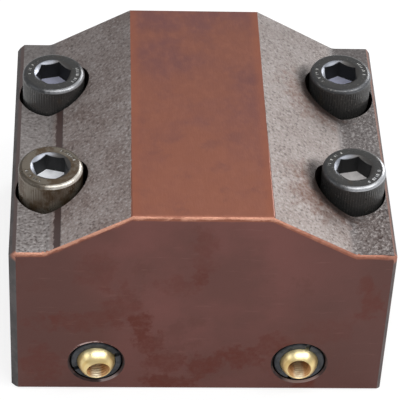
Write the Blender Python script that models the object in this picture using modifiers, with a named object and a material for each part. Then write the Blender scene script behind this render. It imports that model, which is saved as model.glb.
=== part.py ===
"""Blank turret tool holder: a milled steel block that is bolted to a lathe turret and bored by its user.

Metres, +Z up. The origin is the middle of the bolt pattern on the turret face, which is the flat base.
-Y is the front, where the coolant nozzles are, and -X is the left.
"""
import math

import bmesh
import bpy
from mathutils import Matrix, Vector

# Block round the bolt pattern. The margins run from the rows of screws to the front and the rear face,
# and the side wall is what is left beside the counterbores.
FRONT_MARGIN = 0.023
REAR_MARGIN = 0.021
SIDE_WALL = 0.001
SHOULDER_HEIGHT = 0.047
SHOULDER_WIDTH = 0.0094
RIDGE_HEIGHT = 0.059
RIDGE_WIDTH = 0.0336
RIDGE_SHIFT = -0.0006
FLANK_BLEND_RADIUS = 0.003
LEFT_CHAMFER = 0.00175
RIGHT_CHAMFER = 0.0009
REAR_CHAMFER = 0.0010
FRONT_TOP_CHAMFER = 0.0008
OUTLINE_CHAMFER = 0.0004

# Turret screws, M10 x 45, and the holes that take them
SCREW_SPACING_X = 0.074
SCREW_SPACING_Y = 0.037
SCREW_DIAMETER = 0.010
SCREW_LENGTH = 0.045
HEAD_DIAMETER = 0.016
HEAD_HEIGHT = 0.010
HEAD_TOP_CHAMFER = 0.0007
HEAD_FOOT_CHAMFER = 0.0003
TIP_CHAMFER = 0.0010
SOCKET_WIDTH = 0.008
SOCKET_DEPTH = 0.005
SOCKET_MOUTH_DIAMETER = 0.0100
SOCKET_MOUTH_ANGLE = math.radians(30.0)
SOCKET_FLOOR_ANGLE = math.radians(10.0)
SOCKET_DRILL_ALLOWANCE = 0.0001
SCREW_PLAY = 0.0010
HEAD_PLAY = 0.0010
GRIP = 0.026

# How each loose screw stands: the column and row of its hole, the side that it has slid to, the share of its
# play that it has slid by, and the direction of a corner of its socket. Both directions are from +X.
SCREW_POSES = {
    "front_left": (-1, -1, math.radians(180.0), 0.3, math.radians(45.0)),
    "rear_left": (-1, 1, math.radians(260.0), 0.9, math.radians(14.0)),
    "front_right": (1, -1, math.radians(30.0), 1.0, math.radians(13.0)),
    "rear_right": (1, 1, math.radians(80.0), 1.0, math.radians(30.0)),
}

# Coolant nozzles: a ball held in its pocket by a screwed ring, on a seal
NOZZLE_SPACING = 0.0512
NOZZLE_HEIGHT = 0.0095
BALL_DIAMETER = 0.0098
BALL_BORE = 0.0051
BALL_MOUTH_DIAMETER = 0.0060
BALL_SETBACK = 0.0011
BALL_CLEARANCE = 0.00008
RING_WALL = 0.00142
RING_RECESS = 0.0003
RING_LIP_LAND = 0.0003
RING_EDGE_CHAMFER = 0.0003
RING_SLOT_WIDTH = 0.0012
RING_SLOT_DEPTH = 0.0008
POCKET_CHAMFER = 0.0005
SEAL_SECTION = 0.0015
SEAL_SEAT_ANGLE = math.radians(60.0)
FEED_BORE = 0.0050

# How each nozzle stands: its side, the ball's pan towards +X, the ball's tilt downwards, and the angle of
# the ring's slots from +X
NOZZLE_POSES = {
    "left": (-1, math.radians(8.0), math.radians(7.0), math.radians(25.0)),
    "right": (1, math.radians(-2.0), math.radians(-5.0), math.radians(70.0)),
}

# Coolant gallery and its inlet in the base. The wall is what is left between the plug and the bolt hole,
# and the drillings that meet the gallery stop a little short of its middle.
GALLERY_BORE = 0.0050
GALLERY_WALL = 0.0012
DRILL_SHORTFALL = 0.0010
INLET_BORE = 0.0070
INLET_SEAL_SECTION = 0.0018
INLET_SEAL_DIAMETER = 0.0114
INLET_SEAL_RECESS = 0.0001
PLUG_DIAMETER = 0.008
PLUG_LENGTH = 0.008
PLUG_RECESS = 0.0005
PLUG_SOCKET_WIDTH = 0.004
PLUG_SOCKET_DEPTH = 0.004
PLUG_CHAMFER = 0.0006

# Key seats in the base, open at the sides
KEY_WIDTH = 0.014
KEY_LENGTH = 0.013
KEY_DEPTH = 0.005

# Gap between pieces that touch, and how far a cutter runs past the face that it opens
FIT_GAP = 0.0003
OVERSHOOT = 0.002

# Facets of the round forms, and the limits for merging corners, joining flat faces and smooth shading
LARGE_SEGMENTS = 48
SMALL_SEGMENTS = 24
SEAL_SECTION_SEGMENTS = 8
BALL_ARC_STEPS = 14
LIP_ARC_STEPS = 4
BLEND_STEPS = 3
MERGE_DISTANCE = 0.00001
FLAT_ANGLE = math.radians(1.0)
SMOOTH_ANGLE = math.radians(20.0)

# Colours, roughness and metallic value of each material
FINISHES = {
    "hardened_steel": ((0.235, 0.130, 0.105), 0.42, 0.6),
    "black_oxide": ((0.045, 0.045, 0.048), 0.35, 0.9),
    "blackened_ring": ((0.030, 0.031, 0.034), 0.45, 0.8),
    "brass": ((0.80, 0.58, 0.22), 0.22, 1.0),
    "nitrile_rubber": ((0.012, 0.012, 0.012), 0.60, 0.0),
    "plain_steel": ((0.28, 0.27, 0.26), 0.35, 1.0),
}

# Sizes and places that follow from those above
HOLE_RADIUS = SCREW_DIAMETER / 2 + SCREW_PLAY
COUNTERBORE_RADIUS = HEAD_DIAMETER / 2 + HEAD_PLAY
PLUG_BORE_RADIUS = PLUG_DIAMETER / 2 + FIT_GAP
HALF_WIDTH = SCREW_SPACING_X / 2 + COUNTERBORE_RADIUS + SIDE_WALL
FRONT_Y = -SCREW_SPACING_Y / 2 - FRONT_MARGIN
REAR_Y = SCREW_SPACING_Y / 2 + REAR_MARGIN
GALLERY_Y = -SCREW_SPACING_Y / 2 - HOLE_RADIUS - GALLERY_WALL - PLUG_BORE_RADIUS
RING_HOLLOW_RADIUS = BALL_DIAMETER / 2 + BALL_CLEARANCE
RING_RADIUS = RING_HOLLOW_RADIUS + RING_WALL
BALL_DEPTH = RING_RECESS + BALL_SETBACK
SEAL_REACH = BALL_DIAMETER / 2 + FIT_GAP + SEAL_SECTION / 2
SEAL_RADIUS = SEAL_REACH * math.sin(SEAL_SEAT_ANGLE)
SEAL_DEPTH = BALL_DEPTH + SEAL_REACH * math.cos(SEAL_SEAT_ANGLE)
RING_LENGTH = SEAL_DEPTH - SEAL_SECTION / 2 - FIT_GAP - RING_RECESS
HEX_CORNER = 1 / math.cos(math.pi / 6)


def clear_scene():
    for obj in list(bpy.data.objects):
        bpy.data.objects.remove(obj, do_unlink=True)


def new_collection(name):
    collection = bpy.data.collections.new(name)
    bpy.context.scene.collection.children.link(collection)
    return collection


def finish_material(name):
    """The Principled material called name, made the first time that it is asked for."""
    if name in bpy.data.materials:
        return bpy.data.materials[name]
    colour, roughness, metallic = FINISHES[name]
    material = bpy.data.materials.new(name)
    material.use_nodes = True
    shader = material.node_tree.nodes["Principled BSDF"]
    shader.inputs["Base Color"].default_value = (*colour, 1.0)
    shader.inputs["Roughness"].default_value = roughness
    shader.inputs["Metallic"].default_value = metallic
    return material


def add_object(name, mesh, collection):
    obj = bpy.data.objects.new(name, mesh)
    collection.objects.link(obj)
    return obj


def add_cutter(obj):
    obj.hide_render = True
    obj.display_type = "WIRE"
    return obj


def bar(name, diameter, bottom, top, segments, collection):
    """A round or six-sided bar on +Z from bottom to top. A six-sided one has a corner on +X."""
    mesh = bpy.data.meshes.new(name)
    bm = bmesh.new()
    quarter_turn = Matrix.Rotation(math.pi / 2, 4, "Z")
    bmesh.ops.create_cone(
        bm, cap_ends=True, segments=segments, radius1=diameter / 2, radius2=diameter / 2, depth=top - bottom,
        matrix=Matrix.Translation((0.0, 0.0, (top + bottom) / 2)) @ quarter_turn,
    )
    bm.to_mesh(mesh)
    bm.free()
    return add_object(name, mesh, collection)


def box(name, size, collection):
    """A box centred on its own origin."""
    mesh = bpy.data.meshes.new(name)
    bm = bmesh.new()
    bmesh.ops.create_cube(bm, size=1.0, matrix=Matrix.Diagonal((*size, 1.0)))
    bm.to_mesh(mesh)
    bm.free()
    return add_object(name, mesh, collection)


def turned(name, profile, segments, collection, closed=False):
    """A turned piece on +Z from (radius, height) points that run down its outer side."""
    mesh = bpy.data.meshes.new(name)
    count = len(profile)
    edges = [(i, i + 1) for i in range(count - 1)]
    if closed:
        edges.append((count - 1, 0))
    mesh.from_pydata([(radius, 0.0, height) for radius, height in profile], edges, [])
    obj = add_object(name, mesh, collection)
    screw = obj.modifiers.new("Turn", "SCREW")
    screw.axis = "Z"
    screw.angle = math.tau
    screw.steps = segments
    screw.render_steps = segments
    screw.use_merge_vertices = True
    screw.merge_threshold = MERGE_DISTANCE
    return obj


def cut(obj, cutter):
    boolean = obj.modifiers.new("Cut " + cutter.name, "BOOLEAN")
    boolean.operation = "DIFFERENCE"
    boolean.solver = "EXACT"
    boolean.object = cutter


def settle(obj, material, smooth_angle=SMOOTH_ANGLE):
    """Bakes the modifiers into obj's mesh, shades its round faces smooth and gives it its material."""
    bpy.context.view_layer.update()
    evaluated = obj.evaluated_get(bpy.context.evaluated_depsgraph_get())
    mesh = bpy.data.meshes.new_from_object(evaluated)
    mesh.name = obj.name
    obj.modifiers.clear()
    obj.data = mesh
    mesh.materials.clear()
    mesh.materials.append(finish_material(material))
    mesh.shade_smooth()
    mesh.set_sharp_from_angle(angle=smooth_angle)
    return obj


# Block


def flank_points(side):
    """Outline points of one flank, from its foot blend up to the edge of the ridge. side is -1 or 1."""
    edge = Vector((RIDGE_SHIFT + side * RIDGE_WIDTH / 2, RIDGE_HEIGHT))
    foot = Vector((RIDGE_SHIFT + side * (HALF_WIDTH - SHOULDER_WIDTH), SHOULDER_HEIGHT))
    slope = math.atan2(edge.y - foot.y, abs(foot.x - edge.x))
    reach = FLANK_BLEND_RADIUS * math.tan(slope / 2)
    centre = foot + Vector((side * reach, FLANK_BLEND_RADIUS))
    points = []
    for step in range(BLEND_STEPS + 1):
        angle = slope * step / BLEND_STEPS
        points.append(centre + FLANK_BLEND_RADIUS * Vector((-side * math.sin(angle), -math.cos(angle))))
    return points + [edge]


def block_outline():
    """The block's section across its width, as (x, z) points."""
    left = [
        Vector((-HALF_WIDTH, 0.0)),
        Vector((-HALF_WIDTH, SHOULDER_HEIGHT - LEFT_CHAMFER)),
        Vector((-HALF_WIDTH + LEFT_CHAMFER, SHOULDER_HEIGHT)),
    ]
    right = [
        Vector((HALF_WIDTH, 0.0)),
        Vector((HALF_WIDTH, SHOULDER_HEIGHT - RIGHT_CHAMFER)),
        Vector((HALF_WIDTH - RIGHT_CHAMFER, SHOULDER_HEIGHT)),
    ]
    return left + flank_points(-1) + (right + flank_points(1))[::-1]


def block_blank(collection):
    """The outline drawn out from the rear face to the front face, with the edges of both faces chamfered."""
    curve = bpy.data.curves.new("block_outline", "CURVE")
    curve.dimensions = "2D"
    curve.fill_mode = "BOTH"
    curve.extrude = (REAR_Y - FRONT_Y) / 2
    outline = block_outline()
    spline = curve.splines.new("POLY")
    spline.points.add(len(outline) - 1)
    for point, (x, z) in zip(spline.points, outline):
        point.co = (x, z, 0.0, 1.0)
    spline.use_cyclic_u = True
    drawn = add_object("block_outline", curve, collection)
    drawn.rotation_euler = (math.pi / 2, 0.0, 0.0)
    drawn.location = (0.0, (REAR_Y + FRONT_Y) / 2, 0.0)
    bpy.context.view_layer.update()
    mesh = bpy.data.meshes.new_from_object(drawn.evaluated_get(bpy.context.evaluated_depsgraph_get()))
    bm = bmesh.new()
    bm.from_mesh(mesh)
    bm.transform(drawn.matrix_world)
    bmesh.ops.remove_doubles(bm, verts=bm.verts, dist=MERGE_DISTANCE)
    bmesh.ops.dissolve_limit(bm, angle_limit=FLAT_ANGLE, verts=bm.verts, edges=bm.edges)
    bmesh.ops.recalc_face_normals(bm, faces=bm.faces)
    ends = [face for face in bm.faces if abs(face.normal.y) > abs(face.normal.x) + abs(face.normal.z)]
    top_start = SHOULDER_HEIGHT - max(LEFT_CHAMFER, RIGHT_CHAMFER) - MERGE_DISTANCE
    weight = bm.edges.layers.float.new("bevel_weight_edge")
    for face in ends:
        for edge in face.edges:
            at_top = min(vert.co.z for vert in edge.verts) > top_start
            edge[weight] = 1.0 if at_top and face.normal.y < 0.0 else OUTLINE_CHAMFER / FRONT_TOP_CHAMFER
    bm.to_mesh(mesh)
    bm.free()
    mesh.name = "holder_body"
    bpy.data.objects.remove(drawn, do_unlink=True)
    body = add_object("holder_body", mesh, collection)
    rims = body.modifiers.new("Chamfer rims", "BEVEL")
    rims.limit_method = "WEIGHT"
    rims.width = FRONT_TOP_CHAMFER
    rims.segments = 1
    return body


def corner_chamfer_cutter(x, y, chamfer, cutters):
    """A square bar set at 45 degrees that takes the chamfer off one upright corner."""
    side = 4 * chamfer
    height = RIDGE_HEIGHT + 2 * OVERSHOOT
    cutter = box("corner_chamfer_cutter", (side, side, height), cutters)
    out = Vector((math.copysign(1.0, x), math.copysign(1.0, y), 0.0)).normalized()
    corner_to_flat = chamfer / math.sqrt(2)
    cutter.location = Vector((x, y, RIDGE_HEIGHT / 2)) + out * (side / 2 - corner_to_flat)
    cutter.rotation_euler = (0.0, 0.0, math.pi / 4)
    return add_cutter(cutter)


def bolt_hole_cutter(x, y, cutters):
    """Through hole and counterbore for one turret screw, as one turned cutter."""
    profile = [
        (0.0, RIDGE_HEIGHT + OVERSHOOT),
        (COUNTERBORE_RADIUS, RIDGE_HEIGHT + OVERSHOOT),
        (COUNTERBORE_RADIUS, GRIP),
        (HOLE_RADIUS, GRIP),
        (HOLE_RADIUS, -OVERSHOOT),
        (0.0, -OVERSHOOT),
    ]
    cutter = turned("bolt_hole_cutter", profile, LARGE_SEGMENTS, cutters)
    cutter.location = (x, y, 0.0)
    return add_cutter(cutter)


def nozzle_pocket_cutter(x, cutters):
    """Pocket for the ring, shelf for the seal, hollow for the ball's back and feed drilling, on one axis."""
    pocket = RING_RADIUS + FIT_GAP
    shelf = SEAL_RADIUS + SEAL_SECTION / 2 + FIT_GAP
    hollow = SEAL_RADIUS - SEAL_SECTION / 2
    ring_end = RING_RECESS + RING_LENGTH + FIT_GAP
    shelf_end = SEAL_DEPTH + SEAL_SECTION / 2 + FIT_GAP
    hollow_end = BALL_DEPTH + BALL_DIAMETER / 2 + FIT_GAP
    feed_end = GALLERY_Y - FRONT_Y - DRILL_SHORTFALL
    mouth = pocket + POCKET_CHAMFER + OVERSHOOT
    profile = [
        (0.0, OVERSHOOT),
        (mouth, OVERSHOOT),
        (pocket, -POCKET_CHAMFER),
        (pocket, -ring_end),
        (shelf, -ring_end),
        (shelf, -shelf_end),
        (hollow, -shelf_end),
        (hollow, -hollow_end),
        (FEED_BORE / 2, -hollow_end),
        (FEED_BORE / 2, -feed_end),
        (0.0, -feed_end),
    ]
    cutter = turned("nozzle_pocket_cutter", profile, LARGE_SEGMENTS, cutters)
    cutter.rotation_euler = (math.pi / 2, 0.0, 0.0)
    cutter.location = (x, FRONT_Y, NOZZLE_HEIGHT)
    return add_cutter(cutter)


def gallery_cutter(cutters):
    """Cross drilling from the right side past the left nozzle, opened at its mouth for the plug."""
    plug_end = PLUG_RECESS + PLUG_LENGTH + FIT_GAP
    length = HALF_WIDTH + NOZZLE_SPACING / 2 + GALLERY_BORE
    profile = [
        (0.0, OVERSHOOT),
        (PLUG_BORE_RADIUS, OVERSHOOT),
        (PLUG_BORE_RADIUS, -plug_end),
        (GALLERY_BORE / 2, -plug_end),
        (GALLERY_BORE / 2, -length),
        (0.0, -length),
    ]
    cutter = turned("gallery_cutter", profile, SMALL_SEGMENTS, cutters)
    cutter.rotation_euler = (0.0, math.pi / 2, 0.0)
    cutter.location = (HALF_WIDTH, GALLERY_Y, NOZZLE_HEIGHT)
    return add_cutter(cutter)


def inlet_cutter(cutters):
    """Port in the base that leads up into the gallery."""
    top = NOZZLE_HEIGHT - DRILL_SHORTFALL
    cutter = bar("inlet_cutter", INLET_BORE, -OVERSHOOT, top, SMALL_SEGMENTS, cutters)
    cutter.location = (0.0, GALLERY_Y, 0.0)
    return add_cutter(cutter)


def seal_groove_cutter(cutters):
    """Ring groove in the base for the inlet seal."""
    inner = (INLET_SEAL_DIAMETER - INLET_SEAL_SECTION) / 2 - FIT_GAP
    outer = (INLET_SEAL_DIAMETER + INLET_SEAL_SECTION) / 2 + FIT_GAP
    ceiling = INLET_SEAL_RECESS + INLET_SEAL_SECTION + FIT_GAP
    profile = [(inner, ceiling), (outer, ceiling), (outer, -OVERSHOOT), (inner, -OVERSHOOT)]
    cutter = turned("seal_groove_cutter", profile, LARGE_SEGMENTS, cutters, closed=True)
    cutter.location = (0.0, GALLERY_Y, 0.0)
    return add_cutter(cutter)


def key_seat_cutter(side, cutters):
    length = KEY_LENGTH + OVERSHOOT
    cutter = box("key_seat_cutter", (length, KEY_WIDTH, 2 * KEY_DEPTH), cutters)
    cutter.location = (side * (HALF_WIDTH - KEY_LENGTH + length / 2), 0.0, 0.0)
    return add_cutter(cutter)


def holder_body(parts, cutters):
    body = block_blank(parts)
    for side, front_chamfer in ((-1, LEFT_CHAMFER), (1, RIGHT_CHAMFER)):
        for y, chamfer in ((FRONT_Y, front_chamfer), (REAR_Y, REAR_CHAMFER)):
            cut(body, corner_chamfer_cutter(side * HALF_WIDTH, y, chamfer, cutters))
        cut(body, nozzle_pocket_cutter(side * NOZZLE_SPACING / 2, cutters))
        cut(body, key_seat_cutter(side, cutters))
    for column, row, *_ in SCREW_POSES.values():
        cut(body, bolt_hole_cutter(column * SCREW_SPACING_X / 2, row * SCREW_SPACING_Y / 2, cutters))
    cut(body, gallery_cutter(cutters))
    cut(body, inlet_cutter(cutters))
    cut(body, seal_groove_cutter(cutters))
    return settle(body, "hardened_steel")


# Screws


def socket_cutter(name, width, depth, mouth_diameter, cutters):
    """Hexagon socket with a shallow cone at its bottom and a countersunk mouth, hung from its own origin.

    The drill is a little narrower than the flats, and both cones end inside the hexagon.
    """
    slope = math.tan(SOCKET_MOUTH_ANGLE)
    across = width / 2 - SOCKET_DRILL_ALLOWANCE
    mouth = mouth_diameter / 2
    hexagon = add_cutter(bar(name, width * HEX_CORNER, -depth, OVERSHOOT, 6, cutters))
    point = [
        (0.0, OVERSHOOT - depth),
        (across, OVERSHOOT - depth),
        (across, -depth),
        (0.0, -depth - across * math.tan(SOCKET_FLOOR_ANGLE)),
    ]
    drill = add_cutter(turned(name + "_drill", point, SMALL_SEGMENTS, cutters))
    lip = [
        (0.0, OVERSHOOT),
        (mouth + OVERSHOOT / slope, OVERSHOOT),
        (across, (across - mouth) * slope),
        (0.0, (across - mouth) * slope),
    ]
    countersink = add_cutter(turned(name + "_countersink", lip, LARGE_SEGMENTS, cutters))
    drill.parent = hexagon
    countersink.parent = hexagon
    return hexagon, drill, countersink


def cap_screw(name, column, row, slid_to, share, turn, parts, cutters):
    """One socket head cap screw, standing loose on its tip in its hole."""
    slid = share * (min(SCREW_PLAY, HEAD_PLAY) - FIT_GAP)
    shank = SCREW_DIAMETER / 2
    head = HEAD_DIAMETER / 2
    top = SCREW_LENGTH + HEAD_HEIGHT
    profile = [
        (0.0, top),
        (head - HEAD_TOP_CHAMFER, top),
        (head, top - HEAD_TOP_CHAMFER),
        (head, SCREW_LENGTH + HEAD_FOOT_CHAMFER),
        (head - HEAD_FOOT_CHAMFER, SCREW_LENGTH),
        (shank, SCREW_LENGTH),
        (shank, TIP_CHAMFER),
        (shank - TIP_CHAMFER, 0.0),
        (0.0, 0.0),
    ]
    screw = turned(name, profile, LARGE_SEGMENTS, parts)
    screw.location = (
        column * SCREW_SPACING_X / 2 + slid * math.cos(slid_to),
        row * SCREW_SPACING_Y / 2 + slid * math.sin(slid_to),
        0.0,
    )
    socket = socket_cutter(name + "_socket_cutter", SOCKET_WIDTH, SOCKET_DEPTH, SOCKET_MOUTH_DIAMETER, cutters)
    socket[0].location = screw.location + Vector((0.0, 0.0, top))
    socket[0].rotation_euler = (0.0, 0.0, turn)
    for cutter in socket:
        cut(screw, cutter)
    return settle(screw, "black_oxide")


# Nozzles


def ball_centre(side):
    return Vector((side * NOZZLE_SPACING / 2, FRONT_Y + BALL_DEPTH, NOZZLE_HEIGHT))


def nozzle_ball(name, side, pan, tilt, parts):
    """A bored ball, turned on its own axis, which points out of the front face before pan and tilt."""
    radius = BALL_DIAMETER / 2
    mouth = BALL_MOUTH_DIAMETER / 2
    bore = BALL_BORE / 2
    first = math.asin(mouth / radius)
    last = math.pi - first
    profile = []
    for step in range(BALL_ARC_STEPS + 1):
        angle = first + (last - first) * step / BALL_ARC_STEPS
        profile.append((radius * math.sin(angle), radius * math.cos(angle)))
    face = radius * math.cos(first)
    sink = mouth - bore
    profile += [(bore, -face + sink), (bore, face - sink)]
    ball = turned(name, profile, LARGE_SEGMENTS, parts, closed=True)
    ball.location = ball_centre(side)
    aim = Matrix.Rotation(pan, 4, "Z") @ Matrix.Rotation(math.pi / 2 + tilt, 4, "X")
    ball.rotation_euler = aim.to_euler()
    return settle(ball, "brass")


def nozzle_ring(name, side, slot_angle, parts, cutters):
    """Retaining ring: a spherical lip in front of the ball's middle holds it, and two slots take the spanner."""
    hollow = RING_HOLLOW_RADIUS
    start = math.acos((BALL_SETBACK - RING_LIP_LAND) / hollow)
    profile = [
        (hollow * math.sin(start), 0.0),
        (RING_RADIUS - RING_EDGE_CHAMFER, 0.0),
        (RING_RADIUS, -RING_EDGE_CHAMFER),
        (RING_RADIUS, -RING_LENGTH),
        (hollow, -RING_LENGTH),
    ]
    for step in range(LIP_ARC_STEPS + 1):
        angle = math.pi / 2 + (start - math.pi / 2) * step / LIP_ARC_STEPS
        profile.append((hollow * math.sin(angle), hollow * math.cos(angle) - BALL_SETBACK))
    ring = turned(name, profile, LARGE_SEGMENTS, parts, closed=True)
    ring.rotation_euler = (math.pi / 2, 0.0, 0.0)
    ring.location = (side * NOZZLE_SPACING / 2, FRONT_Y + RING_RECESS, NOZZLE_HEIGHT)
    slot = box(name + "_slot_cutter", (4 * RING_RADIUS, 2 * RING_SLOT_DEPTH, RING_SLOT_WIDTH), cutters)
    slot.location = ring.location
    slot.rotation_euler = (0.0, -slot_angle, 0.0)
    cut(ring, add_cutter(slot))
    return settle(ring, "blackened_ring")


def o_ring(name, radius, section, parts):
    """A torus round +Z, turned from its round section."""
    profile = []
    for step in range(SEAL_SECTION_SEGMENTS):
        angle = math.pi / 2 - math.tau * step / SEAL_SECTION_SEGMENTS
        profile.append((radius + section * math.cos(angle) / 2, section * math.sin(angle) / 2))
    return turned(name, profile, SMALL_SEGMENTS, parts, closed=True)


def nozzle_seal(name, side, parts):
    seal = o_ring(name, SEAL_RADIUS, SEAL_SECTION, parts)
    seal.rotation_euler = (math.pi / 2, 0.0, 0.0)
    seal.location = (side * NOZZLE_SPACING / 2, FRONT_Y + SEAL_DEPTH, NOZZLE_HEIGHT)
    return settle(seal, "nitrile_rubber", math.pi)


def inlet_seal(parts):
    seal = o_ring("inlet_seal", INLET_SEAL_DIAMETER / 2, INLET_SEAL_SECTION, parts)
    seal.location = (0.0, GALLERY_Y, INLET_SEAL_RECESS + INLET_SEAL_SECTION / 2)
    return settle(seal, "nitrile_rubber", math.pi)


def gallery_plug(parts, cutters):
    """Headless hexagon socket plug in the mouth of the gallery."""
    radius = PLUG_DIAMETER / 2
    profile = [
        (0.0, 0.0),
        (radius - PLUG_CHAMFER, 0.0),
        (radius, -PLUG_CHAMFER),
        (radius, -PLUG_LENGTH + PLUG_CHAMFER),
        (radius - PLUG_CHAMFER, -PLUG_LENGTH),
        (0.0, -PLUG_LENGTH),
    ]
    plug = turned("gallery_plug", profile, SMALL_SEGMENTS, parts)
    plug.location = (HALF_WIDTH - PLUG_RECESS, GALLERY_Y, NOZZLE_HEIGHT)
    plug.rotation_euler = (0.0, math.pi / 2, 0.0)
    mouth = PLUG_SOCKET_WIDTH * HEX_CORNER
    socket = socket_cutter("gallery_plug_socket_cutter", PLUG_SOCKET_WIDTH, PLUG_SOCKET_DEPTH, mouth, cutters)
    socket[0].location = plug.location
    socket[0].rotation_euler = plug.rotation_euler
    for cutter in socket:
        cut(plug, cutter)
    return settle(plug, "plain_steel")


def build():
    clear_scene()
    parts = new_collection("turret_tool_holder")
    cutters = new_collection("cutters")
    holder_body(parts, cutters)
    for place, pose in SCREW_POSES.items():
        cap_screw("cap_screw_" + place, *pose, parts, cutters)
    for hand, (side, pan, tilt, slot_angle) in NOZZLE_POSES.items():
        nozzle_ball("nozzle_ball_" + hand, side, pan, tilt, parts)
        nozzle_ring("nozzle_ring_" + hand, side, slot_angle, parts, cutters)
        nozzle_seal("nozzle_seal_" + hand, side, parts)
    inlet_seal(parts)
    gallery_plug(parts, cutters)


build()
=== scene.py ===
import math

import bmesh
import bpy
from mathutils import Matrix, Vector

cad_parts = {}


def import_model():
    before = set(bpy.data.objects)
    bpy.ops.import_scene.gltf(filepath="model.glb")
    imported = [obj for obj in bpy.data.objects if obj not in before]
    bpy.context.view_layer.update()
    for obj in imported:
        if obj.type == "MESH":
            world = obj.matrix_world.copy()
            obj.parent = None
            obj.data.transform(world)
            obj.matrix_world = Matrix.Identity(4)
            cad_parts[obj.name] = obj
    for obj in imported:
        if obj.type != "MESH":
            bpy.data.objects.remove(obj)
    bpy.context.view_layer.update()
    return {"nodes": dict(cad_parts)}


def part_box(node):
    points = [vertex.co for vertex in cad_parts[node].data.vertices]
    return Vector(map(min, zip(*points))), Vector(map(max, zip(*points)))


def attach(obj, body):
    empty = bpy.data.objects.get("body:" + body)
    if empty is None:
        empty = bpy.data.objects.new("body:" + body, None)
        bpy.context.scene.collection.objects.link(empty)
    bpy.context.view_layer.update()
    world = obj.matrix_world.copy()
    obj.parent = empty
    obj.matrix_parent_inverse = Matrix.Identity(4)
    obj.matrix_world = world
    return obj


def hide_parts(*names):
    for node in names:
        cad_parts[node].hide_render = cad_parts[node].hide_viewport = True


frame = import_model()

# Sizes of the part, as in its source, in metres and degrees
RIDGE_HEIGHT = 0.059
SHOULDER_HEIGHT = 0.047
RIDGE_SHIFT = -0.0006
RIDGE_HALF_WIDTH = 0.0168
FOOT_HALF_WIDTH = 0.0376
GRIP = 0.026
HOLE_X, HOLE_Y = 0.037, 0.0185
COUNTERBORE_RADIUS = 0.009
NOZZLE_X, NOZZLE_Z = 0.0256, 0.0095
POCKET_REACH = 0.0076
SCREW_LENGTH, HEAD_RADIUS, HEAD_HEIGHT = 0.045, 0.008, 0.010
SHANK_RADIUS, SCREW_PITCH, THREAD_DEPTH = 0.005, 0.0015, 0.00092
SOCKET_WIDTH, SOCKET_DEPTH, SOCKET_MOUTH = 0.008, 0.005, 0.005
MOUTH_SLOPE = math.tan(math.radians(30.0))
FLOOR_SLOPE = math.tan(math.radians(10.0))
SCREW_TURNS = {"front_left": 45.0, "rear_left": 14.0, "front_right": 13.0, "rear_right": 30.0}
BALL_RADIUS, BALL_MOUTH, BALL_DEPTH = 0.0049, 0.0030, 0.0014
BALL_AIMS = {"left": (-1, 8.0, 7.0), "right": (1, -2.0, -5.0)}
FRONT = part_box("holder_body")[0].y

# Detail that only the picture has
RIM_RADIUS = 0.0012
TEETH, TEETH_STEPS, TOOTH_DEPTH = 72, 4, 0.00015
MARK_DEPTH = 0.00006
MARK_TURNS = {"front_left": 38.0, "rear_left": -12.0, "front_right": -36.0, "rear_right": 10.0}
BORE_PITCH, BORE_THREAD, BORE_LIP = 0.00075, 0.00016, 0.00008
NECK_RADIUS, NECK_LENGTH = 0.0048, 0.0005
WORN_EDGE, BLOCK_EDGE, RING_EDGE, PLUG_EDGE = 0.00036, 0.00012, 0.00006, 0.00005

# Angles between faces, above which an edge is shaded sharp and above which it is rounded
SHADE_LIMIT, ROUND_LIMIT = math.radians(32.0), math.radians(25.0)

# The photograph's camera, as fitted to the block's edges, the heads and the nozzles
LENS, SENSOR_WIDTH = 199.54, 36.0
PITCH, YAW, ROLL = math.radians(42.196), math.radians(3.894), math.radians(3.123)
CAMERA_PLACE = (-0.027919, -0.426726, 0.415015)

# Floor and light
FLOOR_REACH, FLOOR_LEVEL, FLOOR_INSET = 6.0, -0.00005, 0.0010
FLOOR_GLOW, FLOOR_SEEN, FLOOR_LIT, FLOOR_SHADE_GREY = 0.74, 0.30, 0.82, 0.10
LIGHT_TARGET = Vector((0.0, 0.0, 0.03))
WHITE, ROOM_GREY = (1.0, 1.0, 1.0, 1.0), (0.42, 0.43, 0.44, 1.0)


def srgb(red, green, blue):
    """A display colour of 0 to 255 as linear values."""
    def linear(value):
        value /= 255
        return value / 12.92 if value <= 0.04045 else ((value + 0.055) / 1.055) ** 2.4
    return (linear(red), linear(green), linear(blue), 1.0)


# Materials


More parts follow.
